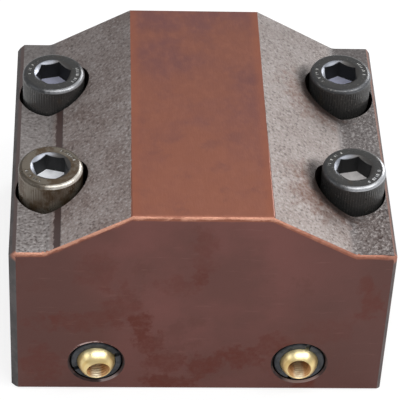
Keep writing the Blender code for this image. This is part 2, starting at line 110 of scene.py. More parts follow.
class Finish:
    """A Principled material with short calls for the nodes that feed it. Places are in metres."""

    def __init__(self, name, metallic=0.0):
        self.material = bpy.data.materials.new(name)
        self.material.use_nodes = True
        self.tree = self.material.node_tree
        self.shader = self.tree.nodes["Principled BSDF"]
        self.shader.inputs["Metallic"].default_value = metallic
        self.waves = {}
        self.place = self.add("ShaderNodeTexCoord").outputs["Object"]
        split = self.add("ShaderNodeSeparateXYZ")
        self.feed(split.inputs[0], self.place)
        self.x, self.y, self.z = split.outputs

    def add(self, kind, **settings):
        node = self.tree.nodes.new(kind)
        for name, value in settings.items():
            setattr(node, name, value)
        return node

    def feed(self, socket, value):
        if isinstance(value, bpy.types.NodeSocket):
            self.tree.links.new(value, socket)
        else:
            socket.default_value = value

    def math(self, operation, *values):
        node = self.add("ShaderNodeMath", operation=operation)
        for socket, value in zip(node.inputs, values):
            self.feed(socket, value)
        return node.outputs[0]

    def times(self, first, second):
        return self.math("MULTIPLY", first, second)

    def plus(self, first, second):
        return self.math("ADD", first, second)

    def minus(self, first, second):
        return self.math("SUBTRACT", first, second)

    def times_plus(self, value, factor, shift):
        return self.math("MULTIPLY_ADD", value, factor, shift)

    def distance(self, first, second):
        """How long a way is whose two parts at right angles are given."""
        total = self.plus(self.times(first, first), self.times(second, second))
        return self.math("SQRT", total)

    def ramp(self, value, low, high):
        """0 below low, 1 above high, smooth between; falls where low is above high."""
        node = self.add("ShaderNodeMapRange", interpolation_type="SMOOTHSTEP")
        start, end = (0.0, 1.0) if low < high else (1.0, 0.0)
        for name, setting in (("Value", value), ("From Min", min(low, high)), ("From Max", max(low, high)),
                              ("To Min", start), ("To Max", end)):
            self.feed(node.inputs[name], setting)
        return node.outputs[0]

    def noise(self, scale, detail, roughness=0.55, stretch=(1.0, 1.0, 1.0), shift=(0.0, 0.0, 0.0)):
        mapping = self.add("ShaderNodeMapping")
        self.feed(mapping.inputs["Vector"], self.place)
        mapping.inputs["Scale"].default_value = stretch
        mapping.inputs["Location"].default_value = shift
        node = self.add("ShaderNodeTexNoise")
        self.feed(node.inputs["Vector"], mapping.outputs[0])
        node.inputs["Scale"].default_value = scale
        node.inputs["Detail"].default_value = detail
        node.inputs["Roughness"].default_value = roughness
        return node.outputs[0]

    def mix(self, factor, first, second):
        """Colours mixed; 6, 7 and 2 are the node's sockets for colours."""
        node = self.add("ShaderNodeMix", data_type="RGBA")
        self.feed(node.inputs[0], factor)
        self.feed(node.inputs[6], first)
        self.feed(node.inputs[7], second)
        return node.outputs[2]

    def wave(self, scale):
        """Noise round 0 that makes borders ragged, made once for each scale."""
        if scale not in self.waves:
            self.waves[scale] = self.minus(self.noise(scale, 4.0, 0.6), 0.5)
        return self.waves[scale]

    def spot(self, centre, size, ragged, scale=160.0):
        """A soft, ragged patch; centre and size are (x, y, z), and None in centre leaves a direction out."""
        total = None
        for position, middle, reach in zip((self.x, self.y, self.z), centre, size):
            if middle is None:
                continue
            off = self.math("DIVIDE", self.minus(position, middle), reach)
            square = self.times(off, off)
            total = square if total is None else self.plus(total, square)
        distance = self.times_plus(self.wave(scale), ragged * 4, self.math("SQRT", total))
        return self.ramp(distance, 1.25, 0.55)

    def scaled(self, colour, factor):
        node = self.add("ShaderNodeVectorMath", operation="SCALE")
        self.feed(node.inputs[0], colour)
        self.feed(node.inputs["Scale"], factor)
        return node.outputs[0]

    def bump(self, height, distance, strength):
        node = self.add("ShaderNodeBump")
        node.inputs["Strength"].default_value = strength
        node.inputs["Distance"].default_value = distance
        self.feed(node.inputs["Height"], height)
        return node.outputs[0]

    def done(self, colour, roughness, normal):
        self.feed(self.shader.inputs["Base Color"], colour)
        self.feed(self.shader.inputs["Roughness"], roughness)
        self.feed(self.shader.inputs["Normal"], normal)
        return self.material


def outline_depth(f):
    """How far a point of the front lies below the block's outline."""
    out = f.math("ABSOLUTE", f.minus(f.x, RIDGE_SHIFT))
    slope = (RIDGE_HEIGHT - SHOULDER_HEIGHT) / (FOOT_HALF_WIDTH - RIDGE_HALF_WIDTH)
    line = f.minus(RIDGE_HEIGHT, f.times(f.minus(out, RIDGE_HALF_WIDTH), slope))
    line = f.math("MINIMUM", f.math("MAXIMUM", line, SHOULDER_HEIGHT), RIDGE_HEIGHT)
    return f.minus(line, f.z)


def edge_wear(f, distance, width, spread):
    """A ragged mask that is 1 at an edge and ends about width away from it."""
    ragged = f.times_plus(f.noise(260.0, 4.0, 0.65), spread, f.minus(distance, spread / 2))
    return f.ramp(ragged, width * 1.6, width * 0.6)


def front_share(f):
    """1 at the front face, falling to about 0 at the rear face."""
    return f.math("DIVIDE", f.minus(-FRONT, f.y), -2 * FRONT)


def quarter(f, x_way, y_way):
    """A mask that is 1 in one quarter of the block: x_way is 1 on the right, y_way is -1 at the front."""
    return f.times(f.ramp(f.x, -0.01 * x_way, 0.01 * x_way), f.ramp(f.y, -0.005 * y_way, 0.005 * y_way))


def from_hole(f):
    """How far a point lies to the right of its own bolt hole's axis, and how far behind it."""
    off_x = f.minus(f.x, f.times(f.math("SIGN", f.x), HOLE_X))
    off_y = f.minus(f.y, f.times(f.math("SIGN", f.y), HOLE_Y))
    return off_x, off_y


COPPER = srgb(164, 102, 80)


def ridge_finish():
    """Reddish brown oxide with painted light that makes it a little lighter towards the front, and more
    orange at its sides.
    """
    f = Finish("ridge_oxide", metallic=0.25)
    colour = f.mix(f.ramp(f.noise(45.0, 4.0, 0.65), 0.38, 0.64), srgb(129, 78, 62), srgb(113, 70, 66))
    # Painted light: lighter towards the front
    colour = f.mix(f.times(f.ramp(f.y, 0.030, -0.040), 0.5), colour, srgb(149, 89, 66))
    fine = f.noise(520.0, 4.0, 0.7, stretch=(1.0, 0.6, 1.0))
    colour = f.mix(f.times(f.ramp(fine, 0.4, 0.75), 0.35), colour, srgb(150, 94, 74))
    colour = f.mix(f.times(f.ramp(f.noise(120.0, 4.0, 0.65), 0.52, 0.68), 0.3), colour, srgb(104, 64, 62))
    side = f.math("ABSOLUTE", f.minus(f.x, RIDGE_SHIFT))
    side = f.ramp(side, RIDGE_HALF_WIDTH - 0.0030, RIDGE_HALF_WIDTH - 0.0002)
    colour = f.mix(f.times(side, 0.5), colour, srgb(147, 84, 58))
    worn = edge_wear(f, f.minus(f.y, FRONT), 0.0009, 0.0014)
    colour = f.mix(f.times(worn, 0.7), colour, COPPER)
    grain = f.bump(f.noise(2400.0, 2.0, 0.5, stretch=(1.0, 0.3, 1.0)), 0.00005, 0.7)
    roughness = f.times_plus(f.noise(110.0, 3.0), 0.16, 0.40)
    return f.done(colour, roughness, grain)


def blasted_grey(f, shoulder, grain):
    """Clouded grey with light and dark grains and dark pits at the front right; painted light makes the right
    flank and the front lighter, and painted shade darkens the right shoulder.
    """
    cloud = f.noise(130.0, 4.0, 0.6)
    colour = f.mix(f.ramp(cloud, 0.35, 0.68), srgb(138, 127, 123), srgb(120, 106, 101))
    left = f.ramp(f.x, 0.0, -0.001)
    # Painted light makes the right flank lighter; painted shade gives the shoulders a tone of their own,
    # darker on the right
    colour = f.mix(f.minus(0.3, f.times(left, 0.3)), colour, srgb(164, 156, 152))
    tone = f.mix(left, srgb(98, 93, 92), srgb(134, 128, 126))
    colour = f.mix(f.times(shoulder, 0.85), colour, tone)
    # The grains fade on the shoulders away from the front
    contrast = f.minus(1.0, f.times(shoulder, f.times_plus(front_share(f), -0.6, 0.6)))
    colour = f.mix(f.times(f.ramp(grain, 0.52, 0.68), f.times(contrast, 0.6)), colour, srgb(176, 170, 168))
    colour = f.mix(f.times(f.ramp(grain, 0.48, 0.33), f.times(contrast, 0.7)), colour, srgb(62, 50, 46))
    pits = f.ramp(f.noise(560.0, 4.0, 0.75, shift=(0.3, 0.1, 0.0)), 0.50, 0.40)
    pits = f.times(pits, f.times(f.ramp(f.x, 0.0380, 0.0440), f.ramp(f.y, 0.0, -0.030)))
    colour = f.mix(f.times(pits, 0.9), colour, srgb(48, 38, 36))
    # Painted light: the finish grows lighter towards the front, and painted shade darkens both ends of the
    # left shoulder
    colour = f.scaled(colour, f.times_plus(front_share(f), 0.50, 0.82))
    near = f.times(f.ramp(f.y, -0.018, -0.036), f.times(left, 0.10))
    far = f.times(f.ramp(f.y, 0.026, 0.034), f.times(left, 0.24))
    ends = f.math("MAXIMUM", near, far)
    colour = f.scaled(colour, f.minus(1.0, f.times(shoulder, ends)))
    corner = f.spot((0.0430, -0.0350, None), (0.0070, 0.0090, 1.0), 0.5, 320.0)
    return f.mix(f.times(corner, 0.25), colour, srgb(98, 74, 64))


def rim_dirt_and_shadow(f, colour, hole_y):
    """Oil with a painted shadow of the head beside the left rim of a right counterbore, and brown dust
    further out.
    """
    dust = f.spot((HOLE_X - 0.0075, hole_y - 0.0055, None), (0.0085, 0.0090, 1.0), 0.6, 420.0)
    fleck = f.ramp(f.noise(900.0, 4.0, 0.7), 0.40, 0.60)
    dust = f.times(dust, f.times_plus(fleck, 0.5, 0.35 if hole_y < 0 else 0.15))
    colour = f.mix(dust, colour, srgb(106, 70, 54))
    off_x, off_y = f.minus(f.x, HOLE_X), f.minus(f.y, hole_y)
    out = f.minus(f.distance(off_x, off_y), COUNTERBORE_RADIUS)
    out = f.times_plus(f.wave(420.0), 0.0024, out)
    # The dark mark on the left of the rim is oil and a painted shadow of the head
    side = f.ramp(f.minus(f.times(off_x, -0.9), f.times(off_y, 0.45)), 0.0010, 0.0070)
    oil = f.times(f.ramp(out, 0.0036, 0.0008), side)
    return f.mix(f.times(oil, 0.95), colour, srgb(36, 24, 20))


def blasted_finish():
    """Sand blasted shoulders and flanks: grey, sparkling, and smooth where the blasting didn't reach."""
    f = Finish("blasted_steel", metallic=0.3)
    shoulder = f.ramp(f.z, SHOULDER_HEIGHT + 0.0012, SHOULDER_HEIGHT + 0.0002)
    fine, coarse = f.noise(1300.0, 4.0, 0.65), f.noise(1250.0, 3.0, 0.55)
    grain = f.plus(f.times(fine, f.minus(1.0, shoulder)), f.times(coarse, shoulder))
    colour = blasted_grey(f, shoulder, grain)
    for hole_y in (-HOLE_Y, HOLE_Y):
        colour = rim_dirt_and_shadow(f, colour, hole_y)
    # Band along the foot of the left flank, and the rims of the ridge, that the blasting left smooth
    ragged = f.times_plus(f.noise(700.0, 4.0, 0.75), 0.0016, f.x)
    band = f.times(f.ramp(ragged, -0.0357, -0.0352), f.ramp(f.x, -0.0344, -0.0347))
    band = f.times(band, f.ramp(f.y, 0.036, 0.022))
    colour = f.mix(band, colour, srgb(78, 61, 58))
    edge = f.minus(f.math("ABSOLUTE", f.minus(f.x, RIDGE_SHIFT)), RIDGE_HALF_WIDTH)
    edge = f.times_plus(f.noise(520.0, 4.0, 0.7), 0.0007, f.minus(edge, 0.00035))
    reach = f.times_plus(front_share(f), 0.0008, -0.0004)
    spill = f.ramp(f.minus(edge, reach), 0.0001, -0.0001)
    colour = f.mix(spill, colour, srgb(130, 78, 60))
    worn = edge_wear(f, f.minus(f.y, FRONT), 0.0004, 0.0014)
    colour = f.mix(f.times(worn, 0.7), colour, COPPER)
    blasted = f.minus(1.0, f.math("MAXIMUM", f.math("MAXIMUM", band, spill), worn))
    # The grains stand higher on the shoulders near the front, and lower there near the rear
    more = f.times(shoulder, f.times_plus(front_share(f), 1.4, -0.5))
    relief = f.times(grain, f.plus(more, 1.0))
    grains = f.bump(f.times(relief, blasted), 0.00040, 0.9)
    roughness = f.times_plus(blasted, 0.12, 0.38)
    return f.done(colour, roughness, grains)


# Oil stains on the front: middle x and z, half width, half height and strength
STAINS = (
    (0.0000, 0.0470, 0.0032, 0.0080, 0.35),
    (-0.0010, 0.0394, 0.0028, 0.0022, 0.60),
    (-0.0055, 0.0362, 0.0050, 0.0035, 0.35),
    (-0.0245, 0.0412, 0.0060, 0.0060, 0.30),
    (-0.0187, 0.0306, 0.0050, 0.0060, 0.45),
    (-0.0150, 0.0225, 0.0032, 0.0045, 0.90),
    (-0.0117, 0.0160, 0.0032, 0.0055, 0.75),
    (-0.0085, 0.0095, 0.0050, 0.0050, 0.60),
    (-0.0081, 0.0030, 0.0060, 0.0028, 1.00),
    (0.0006, 0.0084, 0.0035, 0.0042, 0.80),
    (0.0050, 0.0098, 0.0028, 0.0035, 0.70),
    (0.0105, 0.0115, 0.0055, 0.0038, 0.80),
    (0.0172, 0.0155, 0.0050, 0.0040, 0.55),
    (-0.0359, 0.0255, 0.0022, 0.0022, 0.60),
    (-0.0290, 0.0240, 0.0120, 0.0035, 0.45),
    (-0.0402, 0.0085, 0.0050, 0.0065, 0.50),
    (0.0268, 0.0016, 0.0034, 0.0024, 1.00),
    (0.0398, 0.0370, 0.0022, 0.0030, 0.50),
    (0.0422, 0.0305, 0.0030, 0.0060, 0.60),
    (0.0325, 0.0216, 0.0070, 0.0040, 0.25),
    (0.0200, 0.0100, 0.0040, 0.0060, 0.30),
)


def oiled_finish():
    """Purplish brown oxide of the upright faces and the base, with soft oil stains on the front and painted
    glints beside the left pocket.
    """
    f = Finish("oiled_oxide", metallic=0.2)
    colour = f.mix(f.ramp(f.noise(38.0, 4.0, 0.6), 0.36, 0.66), srgb(112, 63, 56), srgb(96, 53, 45))
    colour = f.mix(f.times(f.ramp(f.z, 0.034, 0.004), 0.45), colour, srgb(88, 46, 37))
    dark_end = f.math("MAXIMUM", f.ramp(f.x, 0.014, 0.036), f.ramp(f.x, -0.014, -0.042))
    colour = f.mix(f.times(dark_end, 0.5), colour, srgb(80, 43, 35))
    # The front alone is stained, and unevenly
    mottle = f.times_plus(f.ramp(f.noise(460.0, 4.0, 0.7), 0.36, 0.60), 0.55, 0.65)
    front = f.times(f.ramp(f.y, FRONT + 0.003, FRONT + 0.001), mottle)
    for x, z, wide, tall, strength in STAINS:
        stain = f.spot((x, None, z), (wide, 1.0, tall), 0.75, 300.0)
        colour = f.mix(f.times(stain, f.times(front, strength)), colour, srgb(90, 26, 1))
    oil = f.noise(75.0, 5.0, 0.7, shift=(0.013, 0.0, 0.021))
    colour = f.mix(f.times(f.ramp(oil, 0.54, 0.66), 0.4), colour, srgb(86, 36, 22))
    scratch = f.noise(800.0, 3.0, 0.6, stretch=(0.15, 1.0, 1.0))
    colour = f.mix(f.times(f.ramp(scratch, 0.60, 0.78), 0.25), colour, srgb(134, 94, 86))
    worn = edge_wear(f, outline_depth(f), 0.0008, 0.0014)
    colour = f.mix(f.times(worn, 0.6), colour, COPPER)
    # Painted glints on a ring worn bright beside the left pocket's edge
    out = f.distance(f.plus(f.x, NOZZLE_X), f.minus(f.z, NOZZLE_Z))
    rim = f.times(f.ramp(out, 0.0070, 0.0072), f.ramp(out, 0.0078, 0.0075))
    rubbed_and_highlit = f.spot((-NOZZLE_X - 0.0022, None, NOZZLE_Z + 0.0070), (0.0036, 1.0, 0.0026), 1.2, 1100.0)
    glint = f.times(f.times(rim, rubbed_and_highlit), front)
    colour = f.mix(f.times(glint, 0.9), colour, srgb(206, 180, 176))
    roughness = f.times_plus(f.ramp(oil, 0.50, 0.66), -0.10, 0.48)
    skin = f.bump(f.noise(1900.0, 3.0, 0.6), 0.00005, 0.6)
    return f.done(colour, roughness, skin)


def worn_finish():
    """Chamfer along the top of the front, worn to copper brown, with a ragged painted highlight along it that
    fades on the right.
    """
    f = Finish("worn_edge_and_highlight", metallic=0.55)
    patch = f.noise(520.0, 4.0, 0.7, stretch=(0.5, 1.0, 1.0))
    off = f.math("ABSOLUTE", f.minus(f.y, FRONT + 0.00045))
    off = f.times_plus(f.minus(patch, 0.5), 0.0012, off)
    # Painted highlight: a light, ragged line along the chamfer
    colour = f.mix(f.ramp(off, 0.00040, 0.00006), srgb(146, 89, 70), srgb(204, 146, 122))
    # The painted highlight fades on the right
    colour = f.mix(f.times(f.ramp(f.x, 0.014, 0.024), 0.65), colour, srgb(146, 90, 72))
    for x in (-0.0458, 0.0464):
        corner = f.spot((x, None, SHOULDER_HEIGHT - 0.0006), (0.0018, 1.0, 0.0018), 0.2)
        colour = f.mix(f.times(corner, 0.5), colour, srgb(186, 132, 112))
    nick = f.bump(f.noise(1100.0, 4.0, 0.7), 0.00020, 0.8)
    return f.done(colour, 0.40, nick)


def pocket_finish():
    """Dark countersinks round the nozzles, with a painted highlight below the right one and a painted glint
    on the left one.
    """
    f = Finish("nozzle_countersink", metallic=0.5)
    colour = f.mix(f.ramp(f.noise(420.0, 4.0, 0.65), 0.40, 0.62), srgb(74, 52, 50), srgb(44, 36, 36))
    # Painted highlight where the lower part of the right countersink faces the lights, and a painted glint on
    # the left one
    crescent = f.spot((NOZZLE_X + 0.0014, None, NOZZLE_Z - 0.0066), (0.0052, 1.0, 0.0032), 0.1)
    colour = f.mix(f.times(crescent, 0.85), colour, srgb(176, 148, 142))
    glint = f.spot((-NOZZLE_X + 0.0036, None, NOZZLE_Z - 0.0062), (0.0030, 1.0, 0.0022), 0.3, 420.0)
    colour = f.mix(f.times(glint, 0.7), colour, srgb(186, 166, 164))
    return f.done(colour, 0.30, f.bump(f.noise(1600.0, 3.0), 0.00006, 0.7))


def strip_finish(name, light, dark, inner, width):
    """Milled chamfers along the block's sides; inner is the colour of the long ones' upper border."""
    f = Finish(name, metallic=0.3)
    colour = f.mix(f.ramp(f.noise(180.0, 4.0, 0.65), 0.4, 0.62), light, dark)
    ragged = f.times_plus(f.minus(f.noise(500.0, 4.0, 0.7), 0.5), 0.0006, f.z)
    colour = f.mix(f.ramp(ragged, SHOULDER_HEIGHT - width - 0.0002, SHOULDER_HEIGHT - width), colour, inner)
    worn = edge_wear(f, f.minus(f.y, FRONT), 0.0010, 0.0016)
    colour = f.mix(f.times(worn, f.ramp(f.z, 0.0440, 0.0455)), colour, COPPER)
    skin = f.bump(f.noise(1500.0, 3.0, 0.6), 0.00005, 0.6)
    return f.done(colour, 0.45, skin)


def bore_finish():
    """Dark bored steel with faint turning marks round the bolt holes."""
    f = Finish("bored_steel", metallic=0.6)
    rings = f.noise(60.0, 3.0, 0.6, stretch=(0.3, 0.3, 60.0))
    colour = f.mix(f.ramp(rings, 0.4, 0.65), srgb(58, 46, 42), srgb(38, 32, 30))
    return f.done(colour, 0.38, f.bump(rings, 0.00004, 0.5))


def screw_finish(name, tint, patina, amount, rubbed_and_highlit=None):
    """Oiled black oxide with a share of brown patina; given a rim colour, the near right of the rim is worn
    bright and carries a painted highlight.
    """
    f = Finish(name, metallic=0.55)
    cloud = f.noise(230.0, 4.0, 0.65)
    colour = f.mix(f.ramp(cloud, 0.62 - amount, 0.80 - amount), tint, patina)
    if rubbed_and_highlit:
        off_x, off_y = from_hole(f)
        # Painted highlight on the worn side of the rim that faces the key light
        facing = f.minus(f.times(off_x, 0.76), f.times(off_y, 0.65))
        facing = f.times_plus(f.wave(900.0), 0.005, facing)
        # The painted highlight is brightest on the front right black rim and dimmest on the rear right one
        front_right = quarter(f, 1, -1)
        rubbed_and_highlit = f.mix(front_right, rubbed_and_highlit, srgb(178, 179, 182))
        rubbed_and_highlit = f.mix(quarter(f, 1, 1), rubbed_and_highlit, srgb(96, 97, 100))
        facing = f.times_plus(front_right, 0.0014, facing)
        colour = f.mix(f.ramp(facing, 0.0026, 0.0072), colour, rubbed_and_highlit)
    speck = f.noise(2000.0, 3.0, 0.6)
    colour = f.mix(f.times(f.ramp(speck, 0.58, 0.72), 0.5), colour, srgb(150, 144, 136))
    roughness = f.times_plus(f.noise(300.0, 3.0), 0.30, 0.16)
    return f.done(colour, roughness, f.bump(f.noise(1800.0, 3.0, 0.6), 0.00006, 0.7))


def plain_finish(name, light, dark, metallic, roughness, scale):
    """A finish that only varies a little between two colours."""
    f = Finish(name, metallic=metallic)
    colour = f.mix(f.ramp(f.noise(scale, 3.0), 0.4, 0.66), light, dark)
    return f.done(colour, roughness, f.bump(f.noise(scale * 3, 2.0), 0.00003, 0.5))


def socket_floor_finish():
    """Bottom of the sockets, painted near white as a reflection of the bright room, dimmer and bluer at the
    rear, and brightest in the front left screw.
    """
    f = Finish("socket_floor_painted_reflection")
    # Painted reflection: near white at the front, bluish grey at the rear, white in the front left screw
    dim = f.mix(f.ramp(f.y, -0.005, 0.005), srgb(206, 202, 200), srgb(156, 158, 178))
    colour = f.mix(quarter(f, -1, -1), dim, srgb(250, 251, 255))
    colour = f.mix(f.times(f.ramp(f.noise(300.0, 3.0), 0.42, 0.66), 0.35), colour, srgb(128, 126, 130))
    return f.done(colour, 0.40, f.bump(f.noise(900.0, 2.0), 0.00003, 0.5))


def socket_lip_finish():
    """Cone of the sockets' mouths: a painted highlight at the rear left, and as dark as the head elsewhere.
    """
    f = Finish("socket_lip_painted_highlight", metallic=0.6)
    off_x, off_y = from_hole(f)
    facing = f.minus(f.times(off_y, 0.42), f.times(off_x, 0.91))
    facing = f.times_plus(f.wave(500.0), 0.002, facing)
    light = f.mix(f.ramp(f.x, -0.01, 0.01), srgb(154, 157, 166), srgb(130, 133, 141))
    # Painted highlight on the part of the cone that faces the lights
    colour = f.mix(f.ramp(facing, 0.0002, 0.0044), srgb(78, 75, 73), light)
    return f.done(colour, 0.36, f.bump(f.noise(1500.0, 2.0), 0.00004, 0.6))


def brass_finish():
    """Turned brass of the balls, with a painted highlight that lightens the top."""
    f = Finish("turned_brass", metallic=0.85)
    rings = f.noise(500.0, 2.0, 0.5, stretch=(0.15, 3.0, 0.15))
    colour = f.mix(f.ramp(rings, 0.4, 0.62), srgb(246, 220, 158), srgb(234, 200, 132))
    colour = f.mix(f.times(f.ramp(f.noise(300.0, 3.0), 0.5, 0.7), 0.2), colour, srgb(206, 162, 100))
    # Painted highlight: lighter towards the top
    colour = f.mix(f.ramp(f.z, NOZZLE_Z + 0.0022, NOZZLE_Z + 0.0044), colour, srgb(255, 238, 184))
    roughness = f.times_plus(f.noise(600.0, 2.0), 0.12, 0.26)
    return f.done(colour, roughness, f.bump(rings, 0.00002, 0.5))


def bore_thread_finish():
    """Cut brass in the balls' bores, with brown patches and a painted reflection that makes a bright band
    along the middle.
    """
    f = Finish("brass_thread", metallic=0.15)
    off = f.minus(f.math("ABSOLUTE", f.x), NOZZLE_X)
    # Painted reflection: a bright band down the middle of the bore
    reflected_band = f.ramp(f.math("ABSOLUTE", off), 0.0017, 0.0006)
    colour = f.mix(reflected_band, srgb(220, 174, 122), srgb(255, 244, 212))
    colour = f.mix(f.times(f.ramp(f.noise(800.0, 3.0), 0.45, 0.66), 0.4), colour, srgb(168, 118, 70))
    return f.done(colour, 0.30, f.bump(f.noise(1800.0, 2.0), 0.00002, 0.5))


def plug_finish():
    """Bare turned steel of the gallery plug."""
    f = Finish("turned_steel", metallic=0.9)
    rings = f.noise(300.0, 3.0, 0.5, stretch=(8.0, 1.0, 1.0))
    colour = f.mix(f.ramp(rings, 0.4, 0.65), srgb(120, 116, 112), srgb(88, 84, 81))
    return f.done(colour, 0.34, f.bump(rings, 0.00003, 0.5))


# Pieces


def add_piece(name, bm, materials, body, node):
    """Puts a finished piece into the scene, where it rides on a body and stands in for a node."""
    mesh = bpy.data.meshes.new(name)
    bm.normal_update()
    bm.to_mesh(mesh)
    bm.free()
    for material in materials:
        mesh.materials.append(material)
    mesh.shade_smooth()
    mesh.set_sharp_from_angle(angle=SHADE_LIMIT)
    piece = bpy.data.objects.new(name, mesh)
    bpy.context.scene.collection.objects.link(piece)
    # Keeps the large flat faces flat beside their rounded edges
    piece.modifiers.new("weighted_normals", "WEIGHTED_NORMAL").keep_sharp = True
    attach(piece, body)
    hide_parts(node)


def node_copy(node):
    """The node's own mesh with its flat faces joined."""
    bm = bmesh.new()
    bm.from_mesh(frame["nodes"][node].data)
    bmesh.ops.remove_doubles(bm, verts=bm.verts, dist=0.000002)
    bmesh.ops.dissolve_limit(bm, angle_limit=math.radians(0.5), verts=bm.verts, edges=bm.edges)
    return bm


def sharp_edges(bm):
    """The edges that get rounded."""
    return [edge for edge in bm.edges if edge.is_manifold and edge.calc_face_angle() > ROUND_LIMIT]


def round_edges(bm, edges, width, segments, clamp=True):
    """Rounds edges by a width; clamp keeps the round within the faces beside it."""
    bmesh.ops.bevel(bm, geom=edges, offset=width, segments=segments, profile=0.5, affect="EDGES",
                    clamp_overlap=clamp, material=-1)


# The block's finishes, in the order in which holder_block lists them
RIDGE, BLASTED, OILED, WORN, POCKET, STRIP_LEFT, STRIP_RIGHT, BORE = range(8)


def face_kind(face):
    """Which finish a face of the block gets, from where it is and which way it points."""
    n, c = face.normal, face.calc_center_median()
    in_hole = math.hypot(abs(c.x) - HOLE_X, abs(c.y) - HOLE_Y) < COUNTERBORE_RADIUS + 0.0001
    if in_hole and (abs(n.z) < 0.5 or 0.0005 < c.z < GRIP + 0.001):
        return BORE
    if math.hypot(abs(c.x) - NOZZLE_X, c.z - NOZZLE_Z) < POCKET_REACH and FRONT + 0.0001 < c.y < -0.02:
        return POCKET if c.y < FRONT + 0.0005 else BORE
    if n.z > 0.999 and c.z > RIDGE_HEIGHT - 0.0005:
        return RIDGE
    if n.y < -0.3 and c.z > SHOULDER_HEIGHT - 0.0025 and n.z > 0.2:
        return WORN
    if abs(n.x) > 0.6 and (abs(n.y) > 0.6 or n.z > 0.6):
        return STRIP_LEFT if c.x < 0 else STRIP_RIGHT
    if n.z > 0.5 and c.z > SHOULDER_HEIGHT - 0.001:
        return BLASTED
    return OILED


def holder_block():
    """The block's own mesh in eight finishes, with its edges rounded, the worn ones most."""
    bm = node_copy("holder_body")
    for face in bm.faces:
        face.material_index = face_kind(face)
    worn_rim = []
    for edge in sharp_edges(bm):
        kinds = [face.material_index for face in edge.link_faces]
        if WORN in kinds and (OILED in kinds or BLASTED in kinds or RIDGE in kinds):
            worn_rim.append(edge)
    round_edges(bm, worn_rim, WORN_EDGE, 3, clamp=False)
    rest = [edge for edge in sharp_edges(bm) if all(face.material_index != WORN for face in edge.link_faces)]
    round_edges(bm, rest, BLOCK_EDGE, 2)
    finishes = [
        ridge_finish(), blasted_finish(), oiled_finish(), worn_finish(), pocket_finish(),
        strip_finish("strip_left", srgb(78, 71, 70), srgb(60, 54, 53), srgb(82, 63, 59), 0.0008),
        strip_finish("strip_right", srgb(88, 72, 69), srgb(66, 55, 53), srgb(116, 79, 66), 0.0004),
        bore_finish(),
    ]
    add_piece("holder_block", bm, finishes, "holder", "holder_body")


def lofted(columns):
    """A closed body from upright columns of points round one axis, all with the same number of points."""
    bm = bmesh.new()
    rows = [[bm.verts.new(point) for point in column] for column in columns]
    for first, second in zip(rows, rows[1:] + rows[:1]):
        for low in range(len(first) - 1):
            bm.faces.new((first[low], first[low + 1], second[low + 1], second[low]))
    bmesh.ops.remove_doubles(bm, verts=bm.verts, dist=0.000001)
    bmesh.ops.recalc_face_normals(bm, faces=bm.faces)
    return bm


def hexagon_radius(angle, width):
    """Distance from the axis to a hexagon's side, with a corner at angle 0."""
    return width / 2 / math.cos((angle % (math.pi / 3)) - math.pi / 6)


def socket_rows(angle, width, depth, mouth, top):
    """Points of a hexagon socket at one angle, from the edge of its mouth to the middle of its floor."""
    wall = hexagon_radius(angle, width)
    drill = width / 2 - 0.0001
    lip = top - (mouth - wall) * MOUTH_SLOPE
    rows = [(mouth, top), (mouth - 0.0001, top - 0.00004), (wall + 0.00005, lip), (wall, lip - 0.00008)]
    rows += [(wall, top - depth + 0.0001), (wall - 0.0001, top - depth), (drill, top - depth)]
    for share in (0.75, 0.5, 0.25, 0.0):
        rows.append((drill * share, top - depth - drill * (1 - share) * FLOOR_SLOPE))
    return rows


def marked(step, angle):
    """Whether a step of the head's ring lies on one of the worn plain ticks, which stand in two groups."""
    return abs(math.sin(angle)) < 0.50 and math.sin(step * 1.15) + math.sin(step * 0.47) > 0.35


def head_rows(step, angle, sink):
    """Points of a screw's head at one angle, from the middle of its underside to the middle of its socket."""
    top = SCREW_LENGTH + HEAD_HEIGHT
    crest = HEAD_RADIUS - 0.00005
    flat = crest - RIM_RADIUS
    neck = SCREW_LENGTH - NECK_LENGTH
    groove = TOOTH_DEPTH * abs((step % TEETH_STEPS) / TEETH_STEPS * 2 - 1)
    # Neck, underside and knurled side
    rows = [(0.0, neck), (NECK_RADIUS, neck), (NECK_RADIUS, SCREW_LENGTH)]
    rows += [(HEAD_RADIUS - 0.0005, SCREW_LENGTH), (HEAD_RADIUS - 0.00012, SCREW_LENGTH + 0.00035)]
    rows += [(crest - groove, SCREW_LENGTH + 0.0007), (crest - groove, top - RIM_RADIUS - 0.0004)]
    # Rounded rim, and the flat top with the ring that the ticks are sunk into
    rim_steps = 7
    for part in range(rim_steps + 1):
        bend = math.pi / 2 * part / rim_steps
        rows.append((crest - RIM_RADIUS * (1 - math.cos(bend)), top - RIM_RADIUS * (1 - math.sin(bend))))
    rows += [(flat - 0.0002, top), (flat - 0.00026, top - sink), (flat - 0.00090, top - sink)]
    return rows + [(flat - 0.00096, top)] + socket_rows(angle, SOCKET_WIDTH, SOCKET_DEPTH, SOCKET_MOUTH, top)


# A screw's finishes, in the order in which screw_piece lists them
HEAD, FLOOR, LIP, TICK, WALL, RIM = range(6)


def head_part(centre, normal):
    """Which finish a face of a screw's head gets; its centre is measured from the screw's tip."""
    top = SCREW_LENGTH + HEAD_HEIGHT
    if math.hypot(centre.x, centre.y) < SOCKET_MOUTH and centre.z > SCREW_LENGTH:
        if centre.z > top - 0.0007 and normal.z > 0.5:
            return LIP
        return FLOOR if centre.z < top - SOCKET_DEPTH + 0.00004 else WALL
    if abs(centre.z - top + MARK_DEPTH) < 0.00001:
        return TICK
    if centre.z > top - RIM_RADIUS * 0.93 and 0.25 < normal.z < 0.985:
        return RIM
    return HEAD


